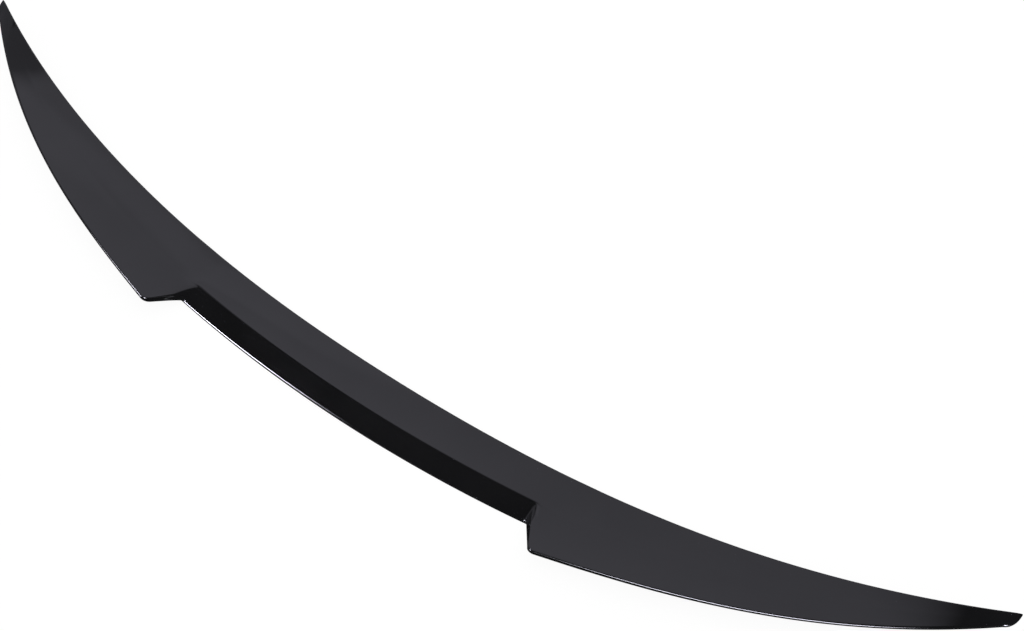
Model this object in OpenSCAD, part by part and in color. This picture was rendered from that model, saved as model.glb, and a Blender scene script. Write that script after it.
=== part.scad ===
// Boot-lid lip spoiler: one gloss-black moulding, bowed in plan, with swept tips,
// two kicked-up wings and a stepped-down centre section between them.
// X runs across the car, -Y is the trailing side, +Y the leading side, Z is up.
// Lengths are millimetres. The part stands as it lies on a table: on the feet of
// its centre section and the low stretches of its leading edge.

/* [Leading edge] */
// Width over the two tips
span = 1260; // [1160:5:1360]
// How far the tips sweep forward of the middle of the leading edge
sweep = 125; // [110:0.5:145]
// Pull of the plan curve at a half of the half-width
sweep_inner = 20.5; // [15:0.5:30]
// Pull of the plan curve at three quarters of the half-width
sweep_outer = 45.5; // [35:0.5:55]
// Height of the leading edge in the middle
lead_mid_h = 5; // [3:0.5:8]
// Pull of the height curve at a half of the half-width
lead_dip = -9; // [-14:0.5:-4]
// Pull of the height curve at three quarters of the half-width
lead_lift = 20.5; // [15:0.5:26]
// Height of the leading edge at the tips
tip_h = 27; // [22:0.5:32]
// Thickness of the rounded leading edge
edge_t = 2.6; // [1.6:0.1:3]

/* [Centre section] */
// Width of the centre section at its crest
centre_w = 430; // [340:2:500]
// Depth of the top skin in the middle, leading edge to crest
crest_depth = 45.5; // [40:0.5:52]
// Plan radius of the crest line
crest_r = 1370; // [1200:10:1600]
// Height of the crest in the middle
crest_h = 14.5; // [12:0.5:18]
// Fall of the crest from the middle to its corners
crest_fall = 7; // [4:0.5:9]
// Rounding of the crest
crest_round = 2.5; // [1:0.5:4]
// Depth in the middle from the leading edge to the foot of the rear face
base_depth = 66; // [60:0.5:74]
// Plan radius of the foot of the rear face
base_r = 1530; // [1400:10:1800]
// Height of the upright edge at the foot
foot_h = 3; // [2:0.1:4]

/* [Wings] */
// Distance from the middle of the car to each wing corner
corner_x = 236; // [225:1:250]
// How far the wing corners stand behind the middle of the leading edge
corner_depth = 81; // [74:0.5:86]
// Pull of the trailing edge in plan, inner third
trail_inner = -45; // [-50:0.5:-40]
// Pull of the trailing edge in plan, outer third
trail_outer = -3; // [-5:0.5:5]
// Chord left at the tips
tip_chord = 18.5; // [14:0.5:20]
// Height of the underside of the lip at the wing corners
lip_root_z = 16.4; // [13:0.2:18]
// Height of the underside of the lip at the tips
lip_tip_z = 18; // [17:0.2:22]
// Thickness of the lip at the wing corners
lip_root_t = 6; // [5:0.5:8]
// Thickness of the lip at the tips
lip_tip_t = 3; // [2:0.5:4]
// Rounding of the lip's upper edge
lip_round = 2; // [1:0.25:2.5]
// Length of the rounded end of each tip
tip_round = 9; // [5:0.5:12]

/* [Step walls] */
// Width of the step at the crest corners
step_w = 10.5; // [4:0.5:12]
// How far the crest line draws back round each crest corner
crest_corner = 3; // [0:0.5:5]
// Fillet at the foot of each step wall
step_fillet = 3; // [1:0.5:5]
// Rolled edge at the top of each step wall, by the crest corner
roll_crest = 8; // [2:0.5:9]
// Rolled edge at the top of each step wall, half way along it
roll_mid = 9.5; // [3:0.5:10]
// Rolled edge at the top of each step wall, by the wing corner
roll_root = 5.5; // [3:0.5:8]

/* [Underside] */
// Wall left over the moulded hollow
wall = 3; // [2:0.1:3.4]
// Width of the foot under the rear face
foot_w = 7; // [5:0.5:9]
// Width of the solid land behind the leading edge
land_w = 24; // [20:1:28]
// Width of the rebate for the bonding tape
tape_w = 10; // [6:0.5:12]
// Depth of the rebate for the bonding tape
tape_rebate = 0.5; // [0.3:0.1:0.8]
// Distance from the leading edge to the rebate
tape_inset = 5; // [4:0.5:7]
// Thickness of each cross rib
rib_t = 2.2; // [1.6:0.1:3]
// Ribs in each half of the centre section
centre_ribs = 2; // [1:1:3]
// Ribs in each wing
wing_ribs = 3; // [1:1:4]

/* [Hidden] */

half = span / 2;
crest_x = centre_w / 2 - step_w / 2;      // end of the centre section
root_x = centre_w / 2 + step_w / 2;       // where the wing begins at its crest line
wing_end = half - tip_round;              // where the rounded end of the tip begins
rib_clear = 0.4;                          // ribs stop this far above the lid
rib_draft = 0.4;                          // slope of a rib's flank, measured along the span
hollow_end = 0.56;                        // share of the wing that the hollow reaches
hollow_fade = 0.06;                       // share of the wing over which it runs out
hollow_draft = 1;                         // slope of the hollow's rear flank
rebate_end = 0.9;                         // share of the wing that the tape rebate reaches
rebate_fade = 0.04;                       // share of the wing over which it runs out
sole_tip_gap = 3;                         // sole line ahead of the lip at the tip
sole_tip_drop = 0.8;                      // sole line below the lip at the tip
sole_rise = 0.4;                          // pull of the wing's sole, as a share of lead_lift
lip_foot_round = 1.2;
sole_round = 0.8;
foot_share = 0.2;                         // most that the foot takes of a short chord
land_share = 0.15;                        // least that the land's edge stands off the foot
inset_share = 0.2;                        // most of a short land in front of the rebate
tape_share = 0.6;                         // most of a short land to the rebate's far side
least_share = 0.02;                       // least step between points, as a share of the chord
crest_fade = 1.5;                         // how fast the wings' skin line leaves the crest
wing_start = 0.05;                        // share of the wing before its first full section
step_lead = 14;                           // length before the step wall without a section
tip_square = 0.7;                         // how square the tip ends: 1 elliptic, 0 square

// Places down the rear face, from the crest to the foot's upright edge
face_near = 0.2;
face_mid = 0.4;
face_low = 0.75;

// Points along each stretch of a section
nose_n = 4;
skin_n = 6;
crest_n = 3;
lip_n = 3;
ceiling_n = 5;

function lerp(a, b, t) = a + (b - a) * t;
function clamp01(t) = max(0, min(1, t));
function smooth01(t) = clamp01(t) * clamp01(t) * (3 - 2 * clamp01(t));
function toward(a, b, d) = a + (b - a) * min(0.45, d / max(norm(b - a), 0.001));
function arc_rise(x, r) = r - sqrt(r * r - x * x);

// Bezier curve through a list of control values, or of control points
function bez(c, t) =
    len(c) == 1 ? c[0] : bez([for (i = [0 : len(c) - 2]) lerp(c[i], c[i + 1], t)], t);

// Leading edge, as the top of its rounded nose
function lead(x) =
    let (t = x / half)
    [
        x,
        bez([0, 0, sweep_inner, sweep_outer, sweep], t),
        bez([lead_mid_h, lead_mid_h, lead_dip, lead_lift, tip_h], t)
    ];

// Crest of the centre section, which the wings carry on as a line on their skin
function crest(x) =
    [
        x,
        -crest_depth + arc_rise(x, crest_r),
        crest_h - crest_fall * pow(x / (centre_w / 2), 2)
    ];

// Sole of the rear face: the line on which the centre section stands
function sole(x) = [x, -base_depth + arc_rise(x, base_r), 0];

// Lower rear corner of the wing's lip
function lip_low(t) =
    [
        lerp(corner_x, wing_end, t),
        bez([-corner_depth, trail_inner, trail_outer, sweep - tip_chord], t),
        lerp(lip_root_z, lip_tip_z, t)
    ];

// Upper rear corner of the wing's lip
function lip_top(t) = lip_low(t) + [0, 0, lerp(lip_root_t, lip_tip_t, t)];

// Sole line under the wing, which leaves the centre's sole without a kink
function wing_sole(t) =
    let (
        start = sole(root_x),
        run = (wing_end - root_x) / 3,
        slope = root_x / sqrt(base_r * base_r - root_x * root_x)
    )
    [
        lerp(root_x, wing_end, t),
        bez([
            start.y,
            start.y + slope * run,
            trail_outer + corner_depth - base_depth,
            sweep - tip_chord + sole_tip_gap
        ], t),
        bez([0, 0, lead_lift * sole_rise, lip_tip_z - sole_tip_drop], t)
    ];

// Rise of the top skin for each millimetre rearward
function skin_slope(nose, tail) = (tail.z - nose.z) / (nose.y - tail.y);

// The four lines that a section hangs on: nose, crest line, lip and sole
function wing_nose(t) = lead(lerp(root_x, wing_end, t));
function wing_crest(t) =
    let (
        back = skin_slope(wing_nose(0), lip_top(0)),
        corner = crest(root_x) + crest_corner * [0, -1, back],
        root_mid = (wing_nose(0) + lip_top(0)) / 2,
        mid = (wing_nose(t) + lip_top(t)) / 2
    )
    mid + (corner - root_mid) * pow(1 - t, crest_fade);

// How much steeper the skin is at the crest than a straight line to it
kick = skin_slope(wing_nose(0), lip_top(0)) - skin_slope(wing_nose(0), crest(root_x));

// Middle control point of one stretch of skin, from end a to end b, with the slope m at k
function skin_pull(a, b, k, m) =
    let (y = (a.y + b.y) / 2)
    [(a.x + b.x) / 2, y, k.z - m * (y - k.y)];

// A section frame: nose, skin pull, crest, skin pull, lip top, lip foot, sole edge, sole,
// rear flank of the hollow, how deep the hollow is there (0 to 1), and the rebate's depth
function centre_frame(x, deep) =
    let (
        n = lead(x) - [0, edge_t / 2, 0],
        k = crest(x),
        g = sole(x),
        e = g + [0, 0, foot_h],
        m = skin_slope(n, k) + kick
    )
    [
        n, skin_pull(n, k, k, m), k,
        lerp(k, e, face_near), lerp(k, e, face_mid), lerp(k, e, face_low), e, g,
        k.y + wall / 2, deep, tape_rebate
    ];

function wing_frame(t, deep) =
    let (
        n = wing_nose(t) - [0, edge_t / 2, 0],
        k = wing_crest(t),
        top = lip_top(t),
        g = wing_sole(t),
        e = g + [0, 0, lerp(foot_h, sole_tip_drop / 2, t)],
        m = skin_slope(n, top),
        flank = lerp(k.y + wall / 2, g.y + foot_w + hollow_draft, clamp01(t / wing_start))
    )
    [
        n, skin_pull(n, k, k, m), k, skin_pull(k, top, k, m), top, lip_low(t), e, g,
        flank, deep, tape_rebate * (1 - smooth01((t - rebate_end) / rebate_fade))
    ];

// Height of the top skin over a place y on the section
function skin_z(f, y) =
    y > f[2].y
        ? bez([f[0].z, f[1].z, f[2].z], (f[0].y - y) / (f[0].y - f[2].y))
        : bez([f[2].z, f[3].z, f[4].z], (f[2].y - y) / max(f[2].y - f[4].y, 0.001));

// Place of the foot's front edge, which comes closer to the sole line where the chord is short
function heel_y(f) = min(f[7].y + foot_w, lerp(f[7].y, f[0].y, foot_share));

// Height of the lid face: level under the foot, then straight to the underside of the nose
function lid_z(f, y) =
    lerp(f[7].z, f[0].z - edge_t, clamp01((y - heel_y(f)) / (f[0].y - heel_y(f))));

// A point on the underside: place y, and height above the lid face
function under(f, y, up) =
    [lerp(f[7].x, f[0].x, (y - f[7].y) / (f[0].y - f[7].y)), y, lid_z(f, y) + up];

// Height of the hollow's ceiling over the lid face
function ceiling(f, y) =
    f[9] == 0 ? 0 : max(rib_clear, f[9] * (skin_z(f, y) - wall - lid_z(f, y)));

// A corner at c between a and b, rounded with the radius r
function corner(a, c, b, r, n) =
    let (p = toward(c, a, r), q = toward(c, b, r))
    [for (i = [0 : n]) bez([p, c, q], i / n)];

// Share of the stretch from a to b that the crest's rounding takes
function round_share(a, b) = min(0.3, crest_round / norm(b - a));

// Inside of a skin stretch, without its two ends
function stretch(a, q, b, n) = [for (i = [1 : n - 1]) bez([a, q, b], i / n)];

// The closed outline of a section, from under the nose, over the top and back below
function outline(f) =
    let (
        n = f[0],
        r = edge_t / 2,
        before = bez([f[0], f[1], f[2]], 1 - round_share(f[0], f[2])),
        after = bez([f[2], f[3], f[4]], round_share(f[2], f[4])),
        top = corner(f[3], f[4], f[5], lip_round, lip_n),
        chord = f[0].y - f[7].y,
        least = least_share * chord,
        heel = heel_y(f),
        toe = max(f[0].y - land_w, heel + land_share * chord),
        flank = max(heel + least, min(f[8], toe - 3 * least)),
        tape_0 = f[0].y - min(tape_inset + tape_w, tape_share * (f[0].y - toe)),
        tape_1 = f[0].y - min(tape_inset, inset_share * (f[0].y - toe))
    )
    concat(
        [for (i = [0 : nose_n])
            let (a = -90 + 180 * i / nose_n)
            n + [0, r * cos(a), r * sin(a) - r]],
        stretch(f[0], f[1], before, skin_n),
        [for (i = [0 : crest_n]) bez([before, f[2], after], i / crest_n)],
        stretch(after, f[3], top[0], skin_n),
        top,
        corner(f[4], f[5], f[6], lip_foot_round, 2),
        corner(f[5], f[6], f[7], lip_foot_round, 2),
        corner(f[6], f[7], f[7] + [0, foot_w, 0], sole_round, 2),
        [under(f, heel, 0)],
        [for (i = [0 : ceiling_n])
            let (y = lerp(flank, toe - least, i / ceiling_n))
            under(f, y, ceiling(f, y))],
        [under(f, toe, 0), under(f, tape_0, 0), under(f, tape_0 + least, f[10])],
        [under(f, tape_1 - least, f[10]), under(f, tape_1, 0)]
    );

// Four rows that draw one rib across the hollow, as places along the span
function rib_rows(at, per_mm) =
    [
        [at - (rib_t / 2 + rib_draft) * per_mm, 1],
        [at - rib_t / 2 * per_mm, 0.001],
        [at + rib_t / 2 * per_mm, 0.001],
        [at + (rib_t / 2 + rib_draft) * per_mm, 1]
    ];

// Places of the sections, each with the depth of the hollow there
centre_step = crest_x / (centre_ribs + 0.5);
centre_rows = concat(
    [[0, 1]],
    [for (i = [1 : centre_ribs])
        each concat([[(i - 0.5) * centre_step, 1]], rib_rows(i * centre_step, 1))],
    [[crest_x - step_lead, 1]]
);
wing_len = wing_end - root_x;
wing_step = hollow_end / (wing_ribs + 0.3);
wing_rows = concat(
    [[wing_start, 1], [2 * wing_start, 1]],
    [for (i = [1 : wing_ribs])
        each concat(
            rib_rows(i * wing_step, 1 / wing_len),
            [if (i < wing_ribs) [(i + 0.5) * wing_step, 1]]
        )],
    [[hollow_end, 1], [hollow_end + hollow_fade, 0]],
    [for (t = [hollow_end + 2 * hollow_fade : 0.05 : 0.98]) [t, 0]],
    [[1, 0]]
);

// The step wall: fillet at its foot, the wall itself, and the rolled edge at its top.
// Each point of the outline runs from the centre's last section to the wing's first.
inner_row = outline(centre_frame(crest_x, 1));
inner_back = outline(centre_frame(crest_x - step_lead, 1));
outer_row = outline(wing_frame(0, 1));
outer_on = outline(wing_frame(wing_start, 1));
crest_i = nose_n + skin_n;                // index of the crest in an outline
lip_i = crest_i + crest_n + skin_n + 1;   // index of the lip's upper edge
roll_pull = 2 * roll_mid - (roll_crest + roll_root) / 2;
function roll_at(i) =
    bez([roll_crest, roll_pull, roll_root], clamp01((i - crest_i) / (lip_i - crest_i)));
function wall_point(i, u) =
    let (
        a = inner_row[i],
        b = outer_row[i],
        foot = [toward(a, inner_back[i], step_fillet), a, toward(a, b, step_fillet)],
        edge = [toward(b, a, roll_at(i)), b, toward(b, outer_on[i], roll_at(i))]
    )
    u <= 1 ? bez(foot, u) : bez(edge, u - 2);
foot_at = [0, 0.34, 0.67, 1];             // places round the fillet
edge_at = [2, 2.2, 2.4, 2.6, 2.8, 3];     // places round the rolled edge
step_rows = [for (u = concat(foot_at, edge_at))
    [for (i = [0 : len(inner_row) - 1]) wall_point(i, u)]];

// The rounded end of the tip: the last section runs on along the leading edge and shrinks
tip_section = outline(wing_frame(1, 0));
function nose_hub(x) = lead(x) - [0, edge_t / 2, edge_t / 2];
tip_at = [20, 38, 54, 68, 79, 86];        // places round it, in degrees
tip_rows = [for (a = tip_at)
    let (hub = nose_hub(wing_end + tip_round * sin(a)), keep = pow(cos(a), tip_square))
    [for (p = tip_section) hub + keep * (p - nose_hub(wing_end))]];

half_rows = concat(
    [for (r = centre_rows) outline(centre_frame(r[0], r[1]))],
    step_rows,
    [for (r = wing_rows) outline(wing_frame(r[0], r[1]))],
    tip_rows
);

// Both halves, from the left tip to the right tip
ring_n = len(half_rows[0]);
function mirrored(row) = [for (p = row) [-p.x, p.y, p.z]];
all_rows = concat(
    [for (i = [len(half_rows) - 1 : -1 : 1]) mirrored(half_rows[i])],
    half_rows
);

// The origin goes to the middle of the part's box, at the height it stands on
ys = [for (row = half_rows) each [for (p = row) p.y]];
zs = [for (row = half_rows) each [for (p = row) p.z]];
to_origin = [0, -(min(ys) + max(ys)) / 2, -min(zs)];

// A closed skin over a list of rings, with a flat cap on each end
module loft(rows) {
    n = len(rows[0]);
    m = len(rows);
    polyhedron(
        points = [for (row = rows) each row],
        faces = concat(
            [for (i = [0 : m - 2]) for (j = [0 : n - 1])
                [i * n + j, (i + 1) * n + j, (i + 1) * n + (j + 1) % n]],
            [for (i = [0 : m - 2]) for (j = [0 : n - 1])
                [i * n + j, (i + 1) * n + (j + 1) % n, i * n + (j + 1) % n]],
            [[for (j = [0 : n - 1]) j]],
            [[for (j = [n - 1 : -1 : 0]) (m - 1) * n + j]]
        ),
        convexity = 6
    );
}

module spoiler() {
    color([0.045, 0.045, 0.05])
        translate(to_origin)
            loft(all_rows);
}

spoiler();
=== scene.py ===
"""Boot-lid lip spoiler in gloss black, dressed for a studio photograph.

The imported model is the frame. The moulding is lofted here again from the same
sizes as the part's source, with far more sections and points, so that its gloss
shows no facets. Only the roundings of the crest, the lip and the step walls
differ from the source's, by about 1 mm at most. Sizes are millimetres, as in the
source, and meshes are metres. X runs across the car, -Y is the trailing side, +Y
the leading side, Z is up.
"""

import logging
import math
from dataclasses import dataclass, field
from enum import Enum
from typing import Sequence

import bpy
from mathutils import Matrix, Vector


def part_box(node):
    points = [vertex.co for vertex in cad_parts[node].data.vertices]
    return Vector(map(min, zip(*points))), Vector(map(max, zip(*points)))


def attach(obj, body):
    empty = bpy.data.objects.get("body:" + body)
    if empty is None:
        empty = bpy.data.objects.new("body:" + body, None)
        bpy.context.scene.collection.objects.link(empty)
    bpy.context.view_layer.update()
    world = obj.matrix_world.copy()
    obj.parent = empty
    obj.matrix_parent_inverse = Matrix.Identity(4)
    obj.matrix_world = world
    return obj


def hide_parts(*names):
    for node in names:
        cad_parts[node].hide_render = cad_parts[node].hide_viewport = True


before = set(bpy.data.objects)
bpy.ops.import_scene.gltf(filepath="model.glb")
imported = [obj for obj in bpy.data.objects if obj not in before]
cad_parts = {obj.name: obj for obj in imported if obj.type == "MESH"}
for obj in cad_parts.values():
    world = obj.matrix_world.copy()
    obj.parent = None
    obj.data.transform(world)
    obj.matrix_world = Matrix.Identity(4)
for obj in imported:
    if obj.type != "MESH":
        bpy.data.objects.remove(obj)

LOG = logging.getLogger("spoiler")
MM = 0.001
TINY = 0.001  # the least that anything is divided by

Pair = tuple[float, float]
Point = tuple[float, float, float]
Bend = tuple[Point, Point, Point]
Socket = bpy.types.NodeSocket


# curves


def lerp(a: float, b: float, t: float) -> float:
    """Value a share t of the way from a to b."""
    return a + (b - a) * t


def mix(a: Point, b: Point, t: float) -> Point:
    """Point a share t of the way from a to b."""
    return (lerp(a[0], b[0], t), lerp(a[1], b[1], t), lerp(a[2], b[2], t))


def smooth01(t: float) -> float:
    """Soft step from 0 to 1."""
    t = max(0.0, min(1.0, t))
    return t * t * (3 - 2 * t)


def bezier(values: Sequence[float], t: float) -> float:
    """Bezier curve through a list of control values.

    Args:
        values: the control values.
        t: place along the curve, 0 to 1.

    Returns:
        The curve's value at t.
    """
    row = list(values)
    while len(row) > 1:
        row = [lerp(row[i], row[i + 1], t) for i in range(len(row) - 1)]
    return row[0]


def arc(a: Point, b: Point, c: Point, t: float) -> Point:
    """Quadratic Bezier curve from a to c, pulled towards b."""
    return mix(mix(a, b, t), mix(b, c, t), t)


def rolled(a: Point, b: Point, c: Point, weight: float, t: float) -> Point:
    """Rational quadratic curve from a to c.

    Args:
        a: where the curve starts.
        b: the corner that it is pulled towards.
        c: where it ends.
        weight: the corner's pull: below 1 the curve stays further from it.
        t: place along the curve, 0 to 1.

    Returns:
        The curve's point at t.
    """
    shares = ((1 - t) ** 2, 2 * weight * t * (1 - t), t**2)
    total = sum(shares)
    return tuple(sum(w * p[k] for w, p in zip(shares, (a, b, c))) / total for k in range(3))


def toward(a: Point, b: Point, reach: float, most: float = 0.45) -> Point:
    """Point at a distance reach from a towards b, but no further than the share most."""
    return mix(a, b, min(most, reach / max(math.dist(a, b), TINY)))


def plan_rise(x: float, radius: float) -> float:
    """How far an arc of that plan radius has come forward at x."""
    return radius - math.sqrt(radius * radius - x * x)


def eased(count: int) -> list[float]:
    """Shares from 0 to 1 in count steps, closer together at both ends."""
    return [(1 - math.cos(math.pi * i / count)) / 2 for i in range(count + 1)]


def even(count: int) -> list[float]:
    """Shares from 0 to 1 in count equal steps."""
    return [i / count for i in range(count + 1)]


# the moulding's parts


@dataclass(frozen=True)
class LeadingEdge:
    """The thin rounded edge that runs from tip to tip."""

    span: float = 1260.0
    sweep: tuple[float, ...] = (0.0, 0.0, 20.5, 45.5, 125.0)
    height: tuple[float, ...] = (5.0, 5.0, -9.0, 20.5, 27.0)
    thickness: float = 2.6

    def at(self, x: float) -> Point:
        """Top of the rounded nose at the distance x from the middle."""
        t = x / (self.span / 2)
        return (x, bezier(self.sweep, t), bezier(self.height, t))

    def centre_line(self, x: float) -> Point:
        """Start of the top skin: half a thickness behind the foremost line."""
        _, y, z = self.at(x)
        return (x, y - self.thickness / 2, z)

    def hub(self, x: float) -> Point:
        """Middle of the rounded nose."""
        _, y, z = self.at(x)
        return (x, y - self.thickness / 2, z - self.thickness / 2)


@dataclass(frozen=True)
class CentreSection:
    """The part between the step walls: crest, sloping rear face and foot."""

    width: float = 430.0
    step: float = 10.5
    corner_round: float = 3.0
    crest_depth: float = 45.5
    crest_radius: float = 1370.0
    crest_height: float = 14.5
    crest_fall: float = 7.0
    crest_round: float = 1.2
    crest_round_share: float = 0.3
    base_depth: float = 66.0
    base_radius: float = 1530.0
    foot_height: float = 3.0
    face_shares: tuple[float, float, float] = (0.2, 0.4, 0.75)

    @property
    def end(self) -> float:
        """Where the centre section stops, at the foot of the step wall."""
        return self.width / 2 - self.step / 2

    @property
    def root(self) -> float:
        """Where the wing begins, at the top of the step wall."""
        return self.width / 2 + self.step / 2

    def crest(self, x: float) -> Point:
        """The crest line."""
        fall = self.crest_fall * (x / (self.width / 2)) ** 2
        return (x, -self.crest_depth + plan_rise(x, self.crest_radius), self.crest_height - fall)

    def corner(self, slope: float) -> Point:
        """End of the crest line, drawn back along the wing's skin to round its corner."""
        x, y, z = self.crest(self.root)
        return (x, y - self.corner_round, z + slope * self.corner_round)

    def sole(self, x: float) -> Point:
        """The line on which the centre section stands."""
        return (x, -self.base_depth + plan_rise(x, self.base_radius), 0.0)


@dataclass(frozen=True)
class Wing:
    """The kicked-up part outside each step wall, with its lip and its tip."""

    corner_x: float = 236.0
    corner_depth: float = 81.0
    trail_inner: float = -45.0
    trail_outer: float = -3.0
    tip_chord: float = 18.5
    lip_root_z: float = 16.4
    lip_tip_z: float = 18.0
    lip_root_t: float = 6.0
    lip_tip_t: float = 3.0
    lip_round: float = 2.8
    lip_foot_round: float = 1.2
    tip_round: float = 9.0
    tip_turn: float = 86.0
    tip_square: float = 0.7
    sole_tip_gap: float = 3.0
    sole_tip_drop: float = 0.8
    sole_rise: float = 0.4
    crest_fade: float = 1.5
    start: float = 0.08


@dataclass(frozen=True)
class StepWall:
    """The slanted wall that joins the centre section to a wing.

    The three sizes of a roll are those at the crest, half way and at the wing corner.
    """

    fillet: float = 3.0
    roll: tuple[float, float, float] = (8.0, 9.5, 5.5)
    roll_share: float = 0.7
    skin_roll: tuple[float, float, float] = (18.0, 18.0, 6.0)
    skin_share: float = 0.6
    roll_weight: float = 0.8
    lead: float = 14.0


@dataclass(frozen=True)
class Underside:
    """Foot, land with its tape rebate, hollow and ribs."""

    wall: float = 3.0
    foot_width: float = 7.0
    foot_share: float = 0.2
    sole_round: float = 0.8
    land_width: float = 24.0
    land_share: float = 0.15
    tape_width: float = 10.0
    tape_depth: float = 0.5
    tape_inset: float = 5.0
    inset_share: float = 0.2
    tape_share: float = 0.6
    rebate_end: float = 0.9
    rebate_fade: float = 0.04
    least_share: float = 0.02
    rib_thickness: float = 2.2
    rib_draft: float = 0.4
    rib_clear: float = 0.4
    rib_depth: float = 0.001
    centre_ribs: int = 2
    centre_spare: float = 0.5
    wing_ribs: int = 3
    wing_spare: float = 0.3
    hollow_end: float = 0.56
    hollow_fade: float = 0.06
    hollow_draft: float = 1.0


@dataclass(frozen=True)
class Fineness:
    """How many steps each stretch of a section and of the span is drawn in."""

    nose: int = 14
    skin: int = 20
    crest: int = 12
    lip: int = 9
    face: int = 3
    small_round: int = 6
    flank: int = 5
    ceiling: int = 8
    centre_gap: float = 2.6
    wing_gap: float = 3.0
    back: int = 5
    fillet: int = 10
    wall: int = 6
    roll: int = 20
    onward: int = 6
    tip: int = 16

    @property
    def crest_index(self) -> int:
        """Which point of a section lies on the crest."""
        return self.nose + self.skin + self.crest // 2

    @property
    def lip_index(self) -> int:
        """Which point of a section lies on the upper corner of the lip."""
        return self.nose + 2 * self.skin + self.crest + self.lip // 2


class Zone(Enum):
    """Which finish a strip of the moulding takes; the value is its material slot."""

    LACQUER = 0
    MOULDED = 1


class Stretch(Enum):
    """Part of the way over a step wall, from the centre section to the wing."""

    BACK = "up to the fillet"
    FOOT = "the fillet"
    WALL = "the wall"
    ROLL = "the rolled edge"
    ONWARD = "on over the wing"


@dataclass(frozen=True)
class Section:
    """The frame of lines that one section hangs on, from the nose round to the sole."""

    nose: Point
    pull_front: Point
    crest: Point
    pull_rear: Point
    lip: Point
    lip_foot: Point
    edge: Point
    sole: Point
    flank: float
    deep: float
    rebate: float


@dataclass(frozen=True)
class StepLine:
    """One line over a step wall, with the control points of its fillet and rolled edge."""

    back: Point
    foot: Bend
    edge: Bend
    onward: Point

    def at(self, stretch: Stretch, t: float, weight: float) -> Point:
        """Point on the line.

        Args:
            stretch: the part of the line.
            t: place along that part, 0 to 1.
            weight: how strongly the rolled edge is pulled into its corner.

        Returns:
            The point.
        """
        match stretch:
            case Stretch.BACK:
                return mix(self.back, self.foot[0], t)
            case Stretch.FOOT:
                return arc(*self.foot, t)
            case Stretch.WALL:
                return mix(self.foot[2], self.edge[0], t)
            case Stretch.ROLL:
                return rolled(*self.edge, weight, t)
            case Stretch.ONWARD:
                return mix(self.edge[2], self.onward, t)


def skin_slope(nose: Point, tail: Point) -> float:
    """Rise of the skin for each millimetre rearward."""
    return (tail[2] - nose[2]) / (nose[1] - tail[1])


def skin_pull(a: Point, b: Point, at: Point, slope: float) -> Point:
    """Middle control point of a stretch of skin that has this slope at one end."""
    y = (a[1] + b[1]) / 2
    return ((a[0] + b[0]) / 2, y, at[2] - slope * (y - at[1]))


# the whole moulding


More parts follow.
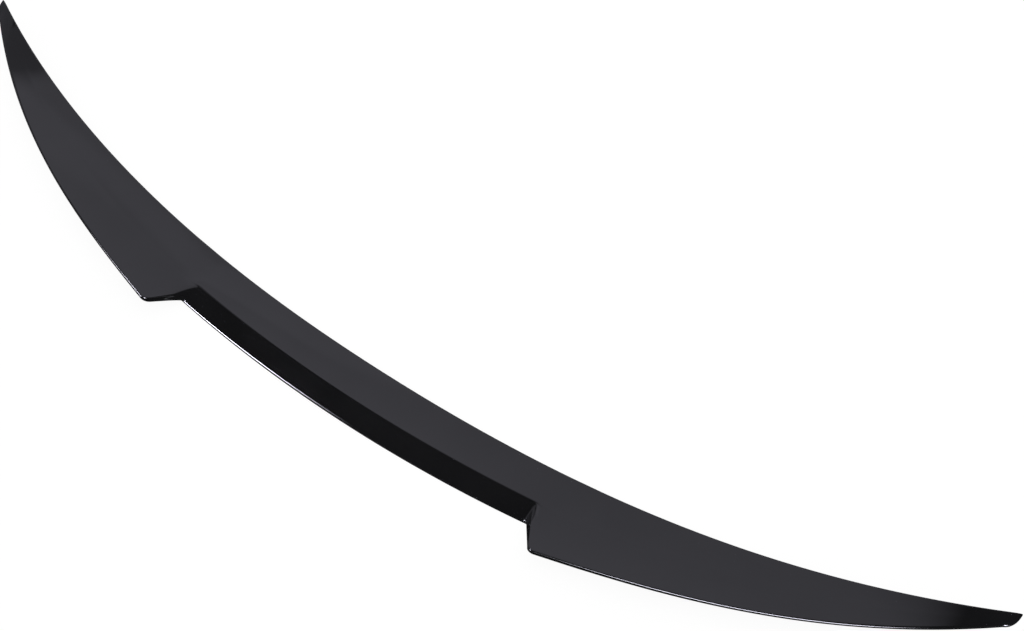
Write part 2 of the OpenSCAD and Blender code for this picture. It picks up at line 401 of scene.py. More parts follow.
@dataclass
class SpoilerMoulding:
    """The whole lip: one closed loft of sections from tip to tip."""

    lead: LeadingEdge = field(default_factory=LeadingEdge)
    centre: CentreSection = field(default_factory=CentreSection)
    wing: Wing = field(default_factory=Wing)
    step: StepWall = field(default_factory=StepWall)
    under: Underside = field(default_factory=Underside)
    fine: Fineness = field(default_factory=Fineness)
    sharp_angle: float = 32.0

    @property
    def wing_end(self) -> float:
        """Where the rounded end of the tip begins."""
        return self.lead.span / 2 - self.wing.tip_round

    @property
    def kick(self) -> float:
        """How much steeper the skin is at the crest than a straight line to it."""
        nose, root = self.lead.at(self.centre.root), self.centre.crest(self.centre.root)
        return skin_slope(nose, self.lip_top(0)) - skin_slope(nose, root)

    # lines of the wing

    def lip_low(self, t: float) -> Point:
        """Lower rear corner of the lip.

        Args:
            t: place along the wing, 0 at its root to 1 where the tip's rounding begins.

        Returns:
            The corner's point.
        """
        w = self.wing
        tip_y = self.lead.sweep[-1] - w.tip_chord
        y = bezier((-w.corner_depth, w.trail_inner, w.trail_outer, tip_y), t)
        return (lerp(w.corner_x, self.wing_end, t), y, lerp(w.lip_root_z, w.lip_tip_z, t))

    def lip_top(self, t: float) -> Point:
        """Upper rear corner of the lip."""
        x, y, z = self.lip_low(t)
        return (x, y, z + lerp(self.wing.lip_root_t, self.wing.lip_tip_t, t))

    def wing_sole(self, t: float) -> Point:
        """Sole line, which leaves the centre's sole without a kink.

        Args:
            t: place along the wing, 0 to 1.

        Returns:
            The line's point.
        """
        w, root, radius = self.wing, self.centre.root, self.centre.base_radius
        start = self.centre.sole(root)
        run = (self.wing_end - root) / 3
        slope = root / math.sqrt(radius * radius - root * root)
        ys = (
            start[1],
            start[1] + slope * run,
            w.trail_outer + w.corner_depth - self.centre.base_depth,
            self.lead.sweep[-1] - w.tip_chord + w.sole_tip_gap,
        )
        zs = (0.0, 0.0, self.lead.height[3] * w.sole_rise, w.lip_tip_z - w.sole_tip_drop)
        return (lerp(root, self.wing_end, t), bezier(ys, t), bezier(zs, t))

    def wing_nose(self, t: float) -> Point:
        """Leading edge along the wing."""
        return self.lead.at(lerp(self.centre.root, self.wing_end, t))

    def wing_crest(self, t: float) -> Point:
        """Line that carries the crest on over the wing's skin.

        Args:
            t: place along the wing, 0 to 1.

        Returns:
            The line's point, which drifts to the middle of the skin towards the tip.
        """
        root = self.centre.corner(skin_slope(self.wing_nose(0), self.lip_top(0)))
        root_mid = mix(self.wing_nose(0), self.lip_top(0), 0.5)
        mid = mix(self.wing_nose(t), self.lip_top(t), 0.5)
        fade = (1 - t) ** self.wing.crest_fade
        return tuple(mid[k] + (root[k] - root_mid[k]) * fade for k in range(3))

    # frames of the sections

    def centre_frame(self, x: float, deep: float) -> Section:
        """Section of the centre.

        Args:
            x: its place across the car.
            deep: depth of the hollow there, 0 to 1.

        Returns:
            The section's frame.
        """
        c = self.centre
        nose, crest, sole = self.lead.centre_line(x), c.crest(x), c.sole(x)
        edge = (sole[0], sole[1], sole[2] + c.foot_height)
        slope = skin_slope(nose, crest) + self.kick
        pull_rear, lip, lip_foot = (mix(crest, edge, share) for share in c.face_shares)
        return Section(
            nose=nose,
            pull_front=skin_pull(nose, crest, crest, slope),
            crest=crest,
            pull_rear=pull_rear,
            lip=lip,
            lip_foot=lip_foot,
            edge=edge,
            sole=sole,
            flank=crest[1] + self.under.wall / 2,
            deep=deep,
            rebate=self.under.tape_depth,
        )

    def wing_frame(self, t: float, deep: float) -> Section:
        """Section of the wing.

        Args:
            t: place along the wing, 0 to 1.
            deep: depth of the hollow there, 0 to 1.

        Returns:
            The section's frame.
        """
        u, w = self.under, self.wing
        x, y, z = self.wing_nose(t)
        nose = (x, y - self.lead.thickness / 2, z)
        crest, top, sole = self.wing_crest(t), self.lip_top(t), self.wing_sole(t)
        foot_height = lerp(self.centre.foot_height, w.sole_tip_drop / 2, t)
        slope = skin_slope(nose, top)
        flank_out = sole[1] + u.foot_width + u.hollow_draft
        return Section(
            nose=nose,
            pull_front=skin_pull(nose, crest, crest, slope),
            crest=crest,
            pull_rear=skin_pull(crest, top, crest, slope),
            lip=top,
            lip_foot=self.lip_low(t),
            edge=(sole[0], sole[1], sole[2] + foot_height),
            sole=sole,
            flank=lerp(crest[1] + u.wall / 2, flank_out, min(1.0, t / w.start)),
            deep=deep,
            rebate=u.tape_depth * (1 - smooth01((t - u.rebate_end) / u.rebate_fade)),
        )

    # the underside

    def skin_z(self, s: Section, y: float) -> float:
        """Height of the top skin over a place on the section.

        Args:
            s: the section's frame.
            y: the place.

        Returns:
            The height there.
        """
        if y > s.crest[1]:
            t = (s.nose[1] - y) / (s.nose[1] - s.crest[1])
            return bezier((s.nose[2], s.pull_front[2], s.crest[2]), t)
        t = (s.crest[1] - y) / max(s.crest[1] - s.lip[1], TINY)
        return bezier((s.crest[2], s.pull_rear[2], s.lip[2]), t)

    def heel_y(self, s: Section) -> float:
        """Front edge of the foot."""
        share = lerp(s.sole[1], s.nose[1], self.under.foot_share)
        return min(s.sole[1] + self.under.foot_width, share)

    def lid_z(self, s: Section, y: float) -> float:
        """Height of the lid face: level under the foot, then straight to the nose.

        Args:
            s: the section's frame.
            y: the place on the section.

        Returns:
            The height there.
        """
        heel = self.heel_y(s)
        t = max(0.0, min(1.0, (y - heel) / (s.nose[1] - heel)))
        return lerp(s.sole[2], s.nose[2] - self.lead.thickness, t)

    def below(self, s: Section, y: float, up: float) -> Point:
        """Point of the underside at y, up above the lid face."""
        x = lerp(s.sole[0], s.nose[0], (y - s.sole[1]) / (s.nose[1] - s.sole[1]))
        return (x, y, self.lid_z(s, y) + up)

    def ceiling(self, s: Section, y: float) -> float:
        """Height of the hollow's ceiling over the lid face.

        Args:
            s: the section's frame.
            y: the place on the section.

        Returns:
            The height, which is 0 where there is no hollow.
        """
        if s.deep == 0:
            return 0.0
        clear = self.skin_z(s, y) - self.under.wall - self.lid_z(s, y)
        return max(self.under.rib_clear, s.deep * clear)

    # one section

    def corner(self, a: Point, c: Point, b: Point, radius: float, count: int) -> list[Point]:
        """Rounded corner of a section.

        Args:
            a: the point before the corner.
            c: the corner.
            b: the point after it.
            radius: how far from the corner the rounding starts and ends.
            count: how many steps it is drawn in.

        Returns:
            The rounding's points, in order.
        """
        p, q = toward(c, a, radius), toward(c, b, radius)
        return [arc(p, c, q, t) for t in even(count)]

    def upper(self, s: Section) -> list[Point]:
        """Visible half of a section, from under the nose back over the skin to the sole.

        Args:
            s: the section's frame.

        Returns:
            Its points, in order.
        """
        n, w, c, r = self.fine, self.wing, self.centre, self.lead.thickness / 2
        share_front = min(c.crest_round_share, c.crest_round / math.dist(s.nose, s.crest))
        share_rear = min(c.crest_round_share, c.crest_round / math.dist(s.crest, s.lip))
        before = arc(s.nose, s.pull_front, s.crest, 1 - share_front)
        after = arc(s.crest, s.pull_rear, s.lip, share_rear)
        inner = (s.sole[0], s.sole[1] + self.under.foot_width, s.sole[2])
        lip = self.corner(s.pull_rear, s.lip, s.lip_foot, w.lip_round, n.lip)
        foot = self.corner(s.lip, s.lip_foot, s.edge, w.lip_foot_round, n.small_round)
        edge = self.corner(s.lip_foot, s.edge, s.sole, w.lip_foot_round, n.small_round)
        sole = self.corner(s.edge, s.sole, inner, self.under.sole_round, n.small_round)
        points = []
        for t in even(n.nose):
            a = math.radians(-90 + 180 * t)
            points.append((s.nose[0], s.nose[1] + r * math.cos(a), s.nose[2] + r * math.sin(a) - r))
        points += [arc(s.nose, s.pull_front, before, t) for t in eased(n.skin)[1:-1]]
        points += [arc(before, s.crest, after, t) for t in even(n.crest)]
        points += [arc(after, s.pull_rear, lip[0], t) for t in eased(n.skin)[1:-1]]
        points += lip
        points += [mix(lip[-1], foot[0], t) for t in eased(n.face)[1:-1]]
        points += foot
        points += [mix(foot[-1], edge[0], t) for t in eased(n.flank)[1:-1]]
        points += edge
        points += [mix(edge[-1], sole[0], t) for t in eased(n.face)[1:-1]]
        return points + sole

    def lower(self, s: Section) -> list[Point]:
        """Hidden half of a section, from the foot forward to the nose.

        Args:
            s: the section's frame.

        Returns:
            Its points, in order.
        """
        u = self.under
        chord = s.nose[1] - s.sole[1]
        least = u.least_share * chord
        heel = self.heel_y(s)
        toe = max(s.nose[1] - u.land_width, heel + u.land_share * chord)
        flank = max(heel + least, min(s.flank, toe - 3 * least))
        land = s.nose[1] - toe
        tape_rear = s.nose[1] - min(u.tape_inset + u.tape_width, u.tape_share * land)
        tape_front = s.nose[1] - min(u.tape_inset, u.inset_share * land)
        hollow = [lerp(flank, toe - least, t) for t in even(self.fine.ceiling)]
        return [
            self.below(s, heel, 0),
            *(self.below(s, y, self.ceiling(s, y)) for y in hollow),
            self.below(s, toe, 0),
            self.below(s, tape_rear, 0),
            self.below(s, tape_rear + least, s.rebate),
            self.below(s, tape_front - least, s.rebate),
            self.below(s, tape_front, 0),
        ]

    def outline(self, s: Section) -> list[Point]:
        """The closed outline of a section."""
        return self.upper(s) + self.lower(s)

    # the row of sections

    def rib_places(self, at: float, per_mm: float) -> list[Pair]:
        """Places along the span that draw one rib across the hollow.

        Args:
            at: the rib's middle.
            per_mm: how much of the place's unit is one millimetre.

        Returns:
            Four places, each with the depth of the hollow there.
        """
        half, draft = self.under.rib_thickness / 2, self.under.rib_draft
        return [
            (at - (half + draft) * per_mm, 1.0),
            (at - half * per_mm, self.under.rib_depth),
            (at + half * per_mm, self.under.rib_depth),
            (at + (half + draft) * per_mm, 1.0),
        ]

    def centre_places(self) -> list[Pair]:
        """Places of the centre's sections.

        Returns:
            Distances from the middle, each with the depth of the hollow there.
        """
        u, end = self.under, self.centre.end
        pitch = end / (u.centre_ribs + u.centre_spare)
        ribs = [self.rib_places((i + 1) * pitch, 1.0) for i in range(u.centre_ribs)]
        return self.filled(0.0, end - self.step.lead, ribs, self.fine.centre_gap)

    def wing_places(self) -> list[Pair]:
        """Places of the wing's sections.

        Returns:
            Shares of the wing's length, each with the depth of the hollow there.
        """
        u, length = self.under, self.wing_end - self.centre.root
        pitch = u.hollow_end / (u.wing_ribs + u.wing_spare)
        ribs = [self.rib_places((i + 1) * pitch, 1 / length) for i in range(u.wing_ribs)]
        gap = self.fine.wing_gap / length
        cored = self.filled(self.wing.start, u.hollow_end, ribs, gap)
        count = math.ceil((1 - u.hollow_end) / gap)
        rest = [lerp(u.hollow_end, 1.0, i / count) for i in range(1, count + 1)]
        return cored + [(t, max(0.0, 1 - (t - u.hollow_end) / u.hollow_fade)) for t in rest]

    def filled(self, low: float, high: float, ribs: list[list[Pair]], gap: float) -> list[Pair]:
        """Fills the stretches between ribs with even places.

        Args:
            low: where the row of places starts.
            high: where it ends.
            ribs: the places of each rib, in order.
            gap: widest step between two places.

        Returns:
            All places in order, each with the depth of the hollow there.
        """
        places = [(low, 1.0)]
        for group in ribs + [[(high, 1.0)]]:
            start, end = places[-1][0], group[0][0]
            count = max(1, math.ceil((end - start) / gap))
            places += [(lerp(start, end, i / count), 1.0) for i in range(1, count)]
            places += group
        return places

    def roll_at(self, sizes: tuple[float, float, float], share: float) -> float:
        """Size of a rolled edge a share of the way from the crest to the wing corner."""
        crest, middle, root = sizes
        return bezier((crest, 2 * middle - (crest + root) / 2, root), max(0.0, min(1.0, share)))

    def step_lines(self) -> list[StepLine]:
        """Lines over the step wall.

        Returns:
            One line for each point of a section.
        """
        crest_i, lip_i, step = self.fine.crest_index, self.fine.lip_index, self.step
        back = self.outline(self.centre_frame(self.centre.end - step.lead, 1))
        inner = self.outline(self.centre_frame(self.centre.end, 1))
        outer = self.outline(self.wing_frame(0, 1))
        onward = self.outline(self.wing_frame(self.wing.start, 1))
        lines = []
        for i, (p, a, b, q) in enumerate(zip(back, inner, outer, onward)):
            share = (i - crest_i) / (lip_i - crest_i)
            down = self.roll_at(step.roll, share)
            over = self.roll_at(step.skin_roll, share)
            foot = (toward(a, p, step.fillet), a, toward(a, b, step.fillet))
            edge = (toward(b, a, down, step.roll_share), b, toward(b, q, over, step.skin_share))
            lines.append(StepLine(back=p, foot=foot, edge=edge, onward=q))
        return lines

    def step_rows(self) -> list[list[Point]]:
        """Sections across the step wall.

        Returns:
            The sections between the centre's last one and the wing's first.
        """
        n, lines, weight = self.fine, self.step_lines(), self.step.roll_weight
        stretches = (
            (Stretch.BACK, eased(n.back)[1:-1]),
            (Stretch.FOOT, even(n.fillet)),
            (Stretch.WALL, eased(n.wall)[1:-1]),
            (Stretch.ROLL, even(n.roll)),
            (Stretch.ONWARD, eased(n.onward)[1:-1]),
        )
        rows = []
        for stretch, shares in stretches:
            rows += [[line.at(stretch, t, weight) for line in lines] for t in shares]
        return rows

    def tip_rows(self) -> list[list[Point]]:
        """The rounded end of the tip: the last section runs on along the edge and shrinks.

        Returns:
            The sections, in order.
        """
        w = self.wing
        section = self.outline(self.wing_frame(1, 0))
        start = self.lead.hub(self.wing_end)
        rows = []
        for share in even(self.fine.tip)[1:]:
            a = math.radians(w.tip_turn * share)
            hub = self.lead.hub(self.wing_end + w.tip_round * math.sin(a))
            keep = math.cos(a) ** w.tip_square
            rows.append(
                [tuple(hub[k] + keep * (p[k] - start[k]) for k in range(3)) for p in section]
            )
        return rows

    def rows(self) -> list[list[Point]]:
        """All sections of the moulding.

        Returns:
            The sections, from the left tip to the right tip.
        """
        half = [self.outline(self.centre_frame(x, deep)) for x, deep in self.centre_places()]
        half += self.step_rows()
        half += [self.outline(self.wing_frame(t, deep)) for t, deep in self.wing_places()]
        half += self.tip_rows()
        mirrored = [[(-x, y, z) for x, y, z in row] for row in half[:0:-1]]
        return mirrored + half

    def zones(self) -> list[Zone]:
        """Finishes round a section.

        Returns:
            The finish of each strip between two neighbouring points.
        """
        painted = len(self.upper(self.centre_frame(0, 1)))
        count = len(self.outline(self.centre_frame(0, 1)))
        shown = range(self.fine.nose // 4, painted - 1)
        return [Zone.LACQUER if j in shown else Zone.MOULDED for j in range(count)]

    # the mesh

    def build(self, name: str, low_y: float) -> bpy.types.Object:
        """Makes the closed mesh.

        Args:
            name: the piece's name.
            low_y: where the rearmost point has to lie, in metres.

        Returns:
            The new object, at the origin, with its place in its mesh.
        """
        rows = self.rows()
        shift_y = low_y / MM - min(p[1] for row in rows for p in row)
        shift_z = -min(p[2] for row in rows for p in row)
        verts = [
            (x * MM, (y + shift_y) * MM, (z + shift_z) * MM) for row in rows for x, y, z in row
        ]
        count, total = len(rows[0]), len(rows)
        zones = self.zones()
        faces: list[tuple[int, ...]] = []
        slots: list[int] = []
        for i in range(total - 1):
            this, after = i * count, (i + 1) * count
            for j in range(count):
                k = (j + 1) % count
                faces.append((this + j, this + k, after + k, after + j))
                slots.append(zones[j].value)
        faces.append(tuple(range(count)))
        faces.append(tuple((total - 1) * count + j for j in range(count - 1, -1, -1)))
        slots += [Zone.LACQUER.value] * 2
        mesh = bpy.data.meshes.new(name)
        mesh.from_pydata(verts, [], faces)
        mesh.polygons.foreach_set("material_index", slots)
        mesh.validate()
        mesh.update()
        return placed(name, mesh)

    def dress(self, piece: bpy.types.Object, finishes: Sequence["Finish"]) -> None:
        """Gives the mesh its finishes and its smooth shading.

        Args:
            piece: the moulding.
            finishes: one finish for each zone, in the zones' order.
        """
        for finish in finishes:
            piece.data.materials.append(finish.material())
        piece.data.shade_smooth()
        piece.data.set_sharp_from_angle(angle=math.radians(self.sharp_angle))


# nodes


def placed(name: str, data: bpy.types.ID) -> bpy.types.Object:
    """Makes an object and puts it in the scene.

    Args:
        name: the object's name.
        data: its mesh or camera.

    Returns:
        The new object.
    """
    made = bpy.data.objects.new(name, data)
    bpy.context.scene.collection.objects.link(made)
    return made


@dataclass(frozen=True)
class Graph:
    """A node tree, with short ways to add the kinds of node that are used here."""

    tree: bpy.types.NodeTree

    def add(self, kind: str, inputs: dict[str | int, object], **settings: object) -> bpy.types.Node:
        """Adds a node.

        Args:
            kind: the node's type.
            inputs: a value for each input that isn't left alone; a socket is linked.
            settings: the node's own settings.

        Returns:
            The new node.
        """
        node = self.tree.nodes.new(kind)
        for name, value in settings.items():
            setattr(node, name, value)
        for name, value in inputs.items():
            self.give(node, name, value)
        return node

    def give(self, node: bpy.types.Node, name: str | int, value: object) -> None:
        """Links a socket to an input, or sets the input to a plain value."""
        if isinstance(value, Socket):
            self.tree.links.new(value, node.inputs[name])
        else:
            node.inputs[name].default_value = value

    def place(self, kind: str) -> Socket:
        """Adds texture coordinates of that kind."""
        return self.add("ShaderNodeTexCoord", {}).outputs[kind]

    def noise(self, scale: float, detail: float, distortion: float = 0.0) -> Socket:
        """Adds noise that sticks to the object."""
        inputs = {"Vector": self.place("Object"), "Scale": scale, "Detail": detail}
        return self.add("ShaderNodeTexNoise", inputs | {"Distortion": distortion}).outputs["Fac"]

    def ranged(self, value: Socket, source: Pair, result: Pair, kind: str = "LINEAR") -> Socket:
        """Adds a node that maps one range of values to another.

        Args:
            value: what is mapped.
            source: the range that it lies in.
            result: the range that it is mapped to.
            kind: the curve between the range's ends.

        Returns:
            The socket that holds the mapped value.
        """
        inputs = {"Value": value, "From Min": source[0], "From Max": source[1]}
        inputs |= {"To Min": result[0], "To Max": result[1]}
        return self.add("ShaderNodeMapRange", inputs, interpolation_type=kind).outputs["Result"]

    def tinted(self, value: Socket, source: Pair, colour: Point, spread: float) -> Socket:
        """Adds a colour that is a share spread darker at one end and lighter at the other.

        Args:
            value: what picks the colour.
            source: the values at which both ends are reached.
            colour: the colour in the middle.
            spread: how much darker and lighter the ends are.

        Returns:
            The socket that holds the colour.
        """
        node = self.add("ShaderNodeValToRGB", {"Fac": value})
        for end, at, share in zip(node.color_ramp.elements, source, (1 - spread, 1 + spread)):
            end.position = at
            end.color = (*[c * share for c in colour], 1)
        return node.outputs["Color"]

    def bump(self, height: Socket, distance: float, normal: Socket | None = None) -> Socket:
        """Adds a bump.

        Args:
            height: its height, 0 to 1.
            distance: what a height of 1 stands for, in metres.
            normal: an earlier bump, on which this one lies.

        Returns:
            The socket that holds the bumped normal.
        """
        node = self.add("ShaderNodeBump", {"Height": height, "Distance": distance})
        if normal is not None:
            self.give(node, "Normal", normal)
        return node.outputs["Normal"]

    def calculate(self, operation: str, a: Socket, b: Socket | float | None = None) -> Socket:
        """Adds a calculation with one or two values."""
        inputs = {0: a} if b is None else {0: a, 1: b}
        return self.add("ShaderNodeMath", inputs, operation=operation).outputs[0]

    def dot(self, ray: Socket, axis: Vector) -> Socket:
        """Adds a dot product of the ray with an axis."""
        node = self.add("ShaderNodeVectorMath", {0: ray, 1: axis}, operation="DOT_PRODUCT")
        return node.outputs["Value"]

    def seen_ray(self) -> Socket:
        """Adds a test for rays that show the background.

        Returns:
            The socket that is 1 for camera, glossy and transmission rays.
        """
        path = self.add("ShaderNodeLightPath", {}).outputs
        found = self.calculate("MAXIMUM", path["Is Camera Ray"], path["Is Glossy Ray"])
        return self.calculate("MAXIMUM", found, path["Is Transmission Ray"])

    def blend(self, share: Socket, first: Socket, second: Socket, output: str) -> None:
        """Blends two shaders and leads them to the output.

        Args:
            share: how much of the second one shows.
            first: the first shader.
            second: the second shader.
            output: the name of the output node.
        """
        node = self.add("ShaderNodeMixShader", {"Fac": share, 1: first, 2: second})
        self.give(self.tree.nodes[output], "Surface", node.outputs["Shader"])


def new_material(
    name: str, colour: Point | None = None, roughness: float | None = None
) -> tuple[bpy.types.Material, Graph, bpy.types.Node]:
    """Starts a material.

    Args:
        name: the material's name.
        colour: its colour, for matt paint without any gloss.
        roughness: its roughness, for matt paint.

    Returns:
        The material, its nodes and its Principled node.
    """
    made = bpy.data.materials.new(name)
    made.use_nodes = True
    skin = made.node_tree.nodes["Principled BSDF"]
    if colour is not None:
        skin.inputs["Base Color"].default_value = (*colour, 1)
        skin.inputs["Roughness"].default_value = roughness
        skin.inputs["Specular IOR Level"].default_value = 0
    return made, Graph(made.node_tree), skin


# finishes


class Finish:
    """A procedural material that can be made once and used by several zones."""

    def material(self) -> bpy.types.Material:
        """Makes the material."""
        raise NotImplementedError


@dataclass(frozen=True)
class GlossBlack(Finish):
    """High-gloss black: a deep, nearly mirror-smooth skin with a faint orange peel."""

    colour: Point = (0.0082, 0.0082, 0.009)
    spread: float = 0.15
    index: float = 1.5
    cloud_size: float = 0.06
    cloud_detail: float = 4.0
    cloud_range: Pair = (0.3, 0.7)
    haze: Pair = (0.05, 0.085)
    peel_size: float = 0.0016
    peel_detail: float = 1.0
    peel_height: float = 0.0000016
    wave_size: float = 0.045
    wave_detail: float = 0.0
    wave_height: float = 0.00001

    def material(self) -> bpy.types.Material:
        """Makes the material.

        Returns:
            The lacquer.
        """
        made, graph, skin = new_material("gloss_black_lacquer")
        cloud = graph.noise(1 / self.cloud_size, self.cloud_detail)
        peel = graph.bump(graph.noise(1 / self.peel_size, self.peel_detail), self.peel_height)
        wave = graph.noise(1 / self.wave_size, self.wave_detail)
        tone = graph.tinted(cloud, self.cloud_range, self.colour, self.spread)
        graph.give(skin, "IOR", self.index)
        graph.give(skin, "Base Color", tone)
        graph.give(skin, "Roughness", graph.ranged(cloud, self.cloud_range, self.haze))
        graph.give(skin, "Normal", graph.bump(wave, self.wave_height, peel))
        return made


@dataclass(frozen=True)
class AsMoulded(Finish):
    """Unpainted black resin with the fine grain of its mould."""

    colour: Point = (0.018, 0.018, 0.019)
    spread: float = 0.2
    roughness: float = 0.5
    grain_size: float = 0.0006
    grain_height: float = 0.00001
    flow_scale: float = 14.0
    flow_range: Pair = (0.35, 0.65)
    flow_distortion: float = 0.6
    detail: float = 3.0

    def material(self) -> bpy.types.Material:
        """Makes the material.

        Returns:
            The bare resin.
        """
        made, graph, skin = new_material("moulded_resin")
        grain = graph.noise(1 / self.grain_size, self.detail)
        flow = graph.noise(self.flow_scale, self.detail, self.flow_distortion)
        tone = graph.tinted(flow, self.flow_range, self.colour, self.spread)
        graph.give(skin, "Base Color", tone)
        graph.give(skin, "Roughness", self.roughness)
        graph.give(skin, "Normal", graph.bump(grain, self.grain_height))
        return made


# the studio


def direction(azimuth: float, elevation: float) -> Vector:
    """Unit vector towards a place round the part.

    Args:
        azimuth: degrees from +Y towards +X.
        elevation: degrees above the table.

    Returns:
        The unit vector.
    """
    a, e = math.radians(azimuth), math.radians(elevation)
    return Vector((math.sin(a) * math.cos(e), math.cos(a) * math.cos(e), math.sin(e)))


@dataclass(frozen=True)
class Softbox:
    """A soft-edged bright field in the studio's dome; all but its strength is in degrees."""

    azimuth: float
    elevation: float
    half_width: float
    half_height: float
    edge: float
    fade: float
    strength: float

    def build(self, graph: Graph, ray: Socket) -> Socket:
        """Adds the nodes that draw this field.

        Args:
            graph: the world's nodes.
            ray: the direction that is looked in.

        Returns:
            The socket that holds its brightness.
        """
        out = direction(self.azimuth, self.elevation)
        side = Vector((0, 0, 1)).cross(out).normalized()
        front = graph.calculate("MAXIMUM", graph.dot(ray, out), TINY)
        across = self.band(graph, ray, side, front, self.half_width, self.edge)
        along = self.band(graph, ray, out.cross(side), front, self.half_height, self.fade)
        shape = graph.calculate("MULTIPLY", across, along)
        return graph.calculate("MULTIPLY", shape, self.strength)

    def band(
        self, graph: Graph, ray: Socket, axis: Vector, front: Socket, half: float, soft: float
    ) -> Socket:
        """Adds a soft-edged band across the dome.

        Args:
            graph: the world's nodes.
            ray: the direction that is looked in.
            axis: the direction that the band is measured along.
            front: how far ahead the ray points.
            half: half the band's width.
            soft: width of its soft edge.

        Returns:
            The socket that is 1 inside the band and 0 outside it.
        """
        place = graph.calculate("ABSOLUTE", graph.calculate("DIVIDE", graph.dot(ray, axis), front))
        reach = (math.tan(math.radians(half)), math.tan(math.radians(half + soft)))
        return graph.ranged(place, reach, (1, 0), "SMOOTHSTEP")


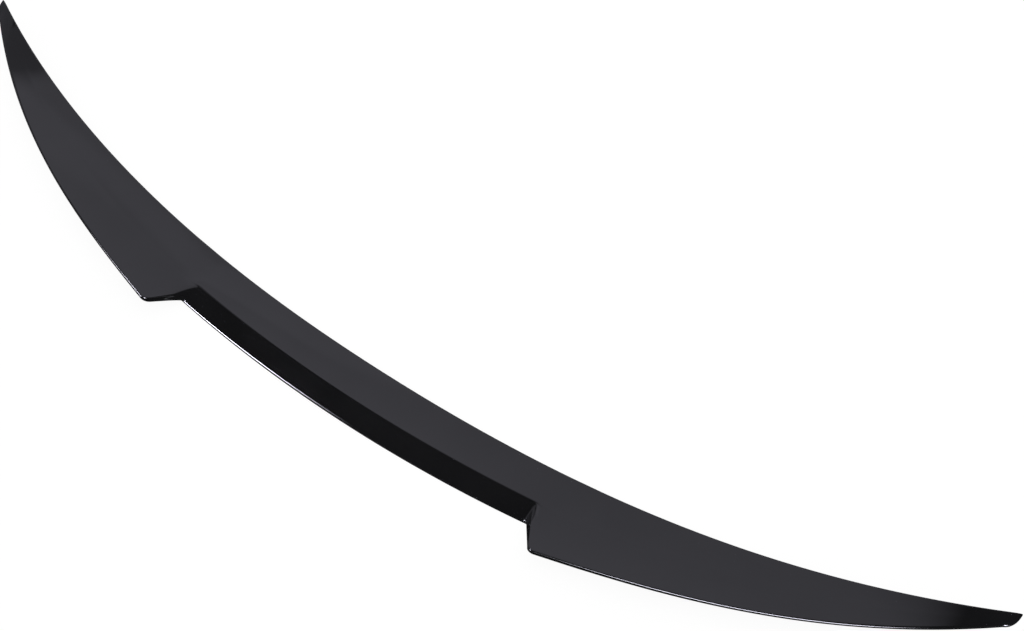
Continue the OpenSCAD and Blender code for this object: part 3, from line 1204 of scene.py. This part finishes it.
@dataclass
class Studio:
    """Plain pale floor, a soft dome and the camera."""

    focal_px: float = 2009.0
    image_width: float = 1024.0
    sensor: float = 36.0
    clip: Pair = (0.05, 100.0)
    azimuth: float = 38.0747
    elevation: float = 55.9897
    roll: float = -1.8427
    target: Pair = (62.7959, 106.9071)
    distance: float = 1995.8259
    floor_size: float = 24.0
    floor_colour: Point = (0.9, 0.9, 0.9)
    floor_roughness: float = 0.9
    floor_glow: float = 1.04
    floor_share: float = 0.9
    card: Pair = (1.5, 0.5)
    card_lift: float = 0.0001
    card_colour: Point = (0.004, 0.004, 0.004)
    horizon: Pair = (0.02, 0.09)
    horizon_levels: Pair = (1.0, 0.015)
    dome_colour: Point = (0.97, 0.955, 1.1)
    even_level: float = 1.0
    softboxes: tuple[Softbox, ...] = (
        Softbox(-32, 38, half_width=10, half_height=14, edge=7, fade=33, strength=0.74),
        Softbox(-40, 43, half_width=4, half_height=5, edge=12, fade=12, strength=0.84),
        Softbox(-66, 48, half_width=11, half_height=9, edge=4, fade=4, strength=0.32),
        Softbox(-92, 30, half_width=18, half_height=15, edge=4, fade=4, strength=0.38),
        Softbox(-62, 14, half_width=16, half_height=14, edge=6, fade=6, strength=0.36),
        Softbox(-135, 30, half_width=5.5, half_height=9, edge=8.5, fade=3, strength=90),
        Softbox(154, 30, half_width=9, half_height=9, edge=10, fade=3, strength=62),
    )

    def camera(self) -> bpy.types.Object:
        """Makes the camera at the photograph's angle.

        Returns:
            The camera, which is the scene's own.
        """
        a, e, r = (math.radians(v) for v in (self.azimuth, self.elevation, self.roll))
        back = Vector((math.sin(a) * math.cos(e), -math.cos(a) * math.cos(e), math.sin(e)))
        level = Vector((math.cos(a), math.sin(a), 0))
        up = back.cross(level)
        right = level * math.cos(r) + up * math.sin(r)
        rise = up * math.cos(r) - level * math.sin(r)
        data = bpy.data.cameras.new("camera")
        data.sensor_width = self.sensor
        data.lens = self.focal_px / self.image_width * self.sensor
        data.clip_start, data.clip_end = self.clip
        camera = placed("camera", data)
        place = Vector((*self.target, 0)) * MM + back * self.distance * MM
        turn = Matrix((right, rise, back)).transposed().to_4x4()
        camera.matrix_world = Matrix.Translation(place) @ turn
        bpy.context.scene.camera = camera
        return camera

    def sheet(self, name: str, wide: float, deep: float, z: float) -> bpy.types.Object:
        """Makes a level rectangle for the stage.

        Args:
            name: its name.
            wide: its size along X, in metres.
            deep: its size along Y, in metres.
            z: its height, in metres.

        Returns:
            The new object.
        """
        x, y = wide / 2, deep / 2
        mesh = bpy.data.meshes.new(name)
        mesh.from_pydata([(-x, -y, z), (x, -y, z), (x, y, z), (-x, y, z)], [], [(0, 1, 2, 3)])
        return placed(name, mesh)

    def floor(self) -> bpy.types.Object:
        """Makes the pale floor, which is white to the eye and keeps the part's shadow.

        Returns:
            The floor.
        """
        floor = self.sheet("floor", self.floor_size, self.floor_size, 0)
        made, graph, paint = new_material("pale_floor", self.floor_colour, self.floor_roughness)
        glow = graph.add("ShaderNodeEmission", {"Strength": self.floor_glow}).outputs["Emission"]
        share = graph.calculate("MULTIPLY", graph.seen_ray(), self.floor_share)
        graph.blend(share, paint.outputs["BSDF"], glow, "Material Output")
        floor.data.materials.append(made)
        return floor

    def black_card(self) -> bpy.types.Object:
        """Makes the black card, seen only in the part's gloss, where it keeps the edges dark.

        Returns:
            The card.
        """
        card = self.sheet("black_card", *self.card, self.card_lift)
        made, _, _ = new_material("black_card", self.card_colour, 1)
        card.data.materials.append(made)
        card.visible_camera = card.visible_diffuse = card.visible_shadow = False
        return card

    def dome(self) -> None:
        """Lights the world: an even level for matt surfaces, and the dome that gloss shows."""
        world = bpy.data.worlds.new("studio")
        world.use_nodes = True
        bpy.context.scene.world = world
        graph = Graph(world.node_tree)
        ray = graph.place("Generated")
        height = graph.add("ShaderNodeSeparateXYZ", {0: ray}).outputs["Z"]
        level = graph.ranged(height, self.horizon, self.horizon_levels, "SMOOTHSTEP")
        for box in self.softboxes:
            level = graph.calculate("MAXIMUM", level, box.build(graph, ray))
        colour = (*self.dome_colour, 1)
        shown = graph.add("ShaderNodeBackground", {"Strength": level, "Color": colour})
        matt = graph.add("ShaderNodeBackground", {"Strength": self.even_level})
        shaders = (matt.outputs["Background"], shown.outputs["Background"])
        graph.blend(graph.seen_ray(), *shaders, "World Output")

    def build(self) -> None:
        """Makes the whole studio."""
        self.camera()
        self.floor()
        self.black_card()
        self.dome()
        bpy.context.scene.view_settings.view_transform = "Standard"


# making


def main() -> None:
    """Builds the moulding and the studio."""
    logging.basicConfig(level=logging.INFO, format="%(message)s")
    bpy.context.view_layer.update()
    moulding = SpoilerMoulding()
    piece = moulding.build("spoiler_moulding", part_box("spoiler")[0].y)
    moulding.dress(piece, [GlossBlack(), AsMoulded()])
    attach(piece, "root")
    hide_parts("spoiler")
    LOG.info("moulding: %d points, %d faces", len(piece.data.vertices), len(piece.data.polygons))
    Studio().build()
    LOG.info("studio: floor, dome and camera")


if __name__ == "__main__":
    main()
